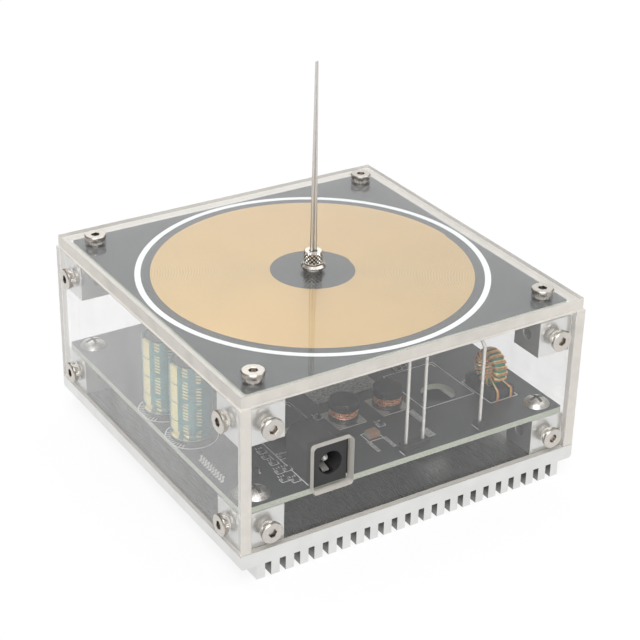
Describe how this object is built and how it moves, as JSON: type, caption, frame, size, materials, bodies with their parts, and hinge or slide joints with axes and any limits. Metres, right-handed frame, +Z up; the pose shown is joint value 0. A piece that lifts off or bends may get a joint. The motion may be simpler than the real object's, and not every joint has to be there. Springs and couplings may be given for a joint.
{
  "type": "desktop resonant transformer",
  "caption": "Clear square case on a finned heat sink, with a flat spiral coil under the lid, a driver board below it and an upright needle terminal.",
  "frame": {"origin": "centre of the footprint, at the fin tips that the object stands on", "axes": "+Z up; +X from left to right along the face with the power jack, which looks to -Y"},
  "size_m": [0.103, 0.103, 0.1065],
  "materials": {
    "extruded_aluminium": "satin, saw-cut ends",
    "nickel_screws": "bright nickel plate",
    "block_aluminium": "bead-blasted",
    "clear_acrylic": "clear acrylic, matt cut edges",
    "dark_laminate": "dark solder mask",
    "gilt_copper": "gilt copper track",
    "tinned_copper": "dull tin",
    "nickel_brass": "nickel-plated brass",
    "plain_brass": "turned brass",
    "needle_steel": "bright drawn steel",
    "black_moulding": "semi-gloss moulded",
    "spring_strip": "nickel-plated strip",
    "can_aluminium": "bright drawn can",
    "teal_sleeve": "shrunk teal sleeve with gold marks",
    "seal_rubber": "matt",
    "ferrite": "matt ferrite",
    "enamelled_copper": "enamelled copper wire",
    "green_core": "green epoxy coat",
    "moulded_epoxy": "moulded epoxy",
    "pad_silicone": "silicone pad",
    "brown_ceramic": "fired ceramic"
  },
  "bodies": {
    "case": {"heat_sink": "extruded_aluminium", "base_screws": "nickel_screws", "lower_corner_blocks": "block_aluminium", "upper_corner_blocks": "block_aluminium", "front_panel": "clear_acrylic", "back_panel": "clear_acrylic", "left_panel": "clear_acrylic", "right_panel": "clear_acrylic", "panel_screws": "nickel_screws", "lid_panel": "clear_acrylic", "lid_screws": "nickel_screws", "coil_board": "dark_laminate", "coil_track": "gilt_copper", "primary_track": "gilt_copper", "driver_board": "dark_laminate", "driver_board_screws": "nickel_screws", "solder_pads": "tinned_copper", "terminal_stud": "nickel_brass", "terminal_flange": "nickel_brass", "jack_housing": "black_moulding", "jack_center_pin": "nickel_brass", "jack_legs": "tinned_copper", "capacitor_cans": "can_aluminium", "capacitor_sleeves": "teal_sleeve", "capacitor_seals": "seal_rubber", "capacitor_leads": "tinned_copper", "drum_pads": "tinned_copper", "drum_cores": "ferrite", "drum_windings": "enamelled_copper", "toroid_core": "green_core", "toroid_winding": "enamelled_copper", "toroid_cradle": "black_moulding", "link_pin_bases": "black_moulding", "link_pins": "tinned_copper", "solder_beads": "tinned_copper", "transistor_bodies": "moulded_epoxy", "transistor_tabs": "tinned_copper", "transistor_leads": "tinned_copper", "transistor_screws": "nickel_screws", "insulating_pads": "pad_silicone", "driver_chip_body": "moulded_epoxy", "driver_chip_pins": "tinned_copper", "ceramic_capacitor_body": "brown_ceramic", "ceramic_capacitor_ends": "tinned_copper", "chip_resistor_bodies": "moulded_epoxy", "chip_resistor_ends": "tinned_copper"},
    "thread_bush": {"thread_bush": "plain_brass"},
    "discharge_terminal": {"knurled_collar": "nickel_brass", "discharge_needles": "needle_steel"},
    "jack_spring": {"jack_spring": "spring_strip"}
  },
  "joints": [
    {"name": "terminal_rise", "type": "slide", "parent": "case", "child": "thread_bush", "axis": [0, 0, 1], "range_m": [0, 0.002]},
    {"name": "terminal_turn", "type": "hinge", "parent": "thread_bush", "child": "discharge_terminal", "pos_m": [0, 0, 0.052], "axis": [0, 0, 1], "range_deg": [0, 1440]},
    {"name": "spring_press", "type": "hinge", "parent": "case", "child": "jack_spring", "pos_m": [-0.0244, -0.0399, 0.02195], "axis": [1, 0, 0], "range_deg": [0, 7], "stiffness_Nm_per_rad": 0.03}
  ],
  "couplings": [
    {"joint": "terminal_turn", "follows": "terminal_rise", "rad_per_m": 12566}
  ]
}
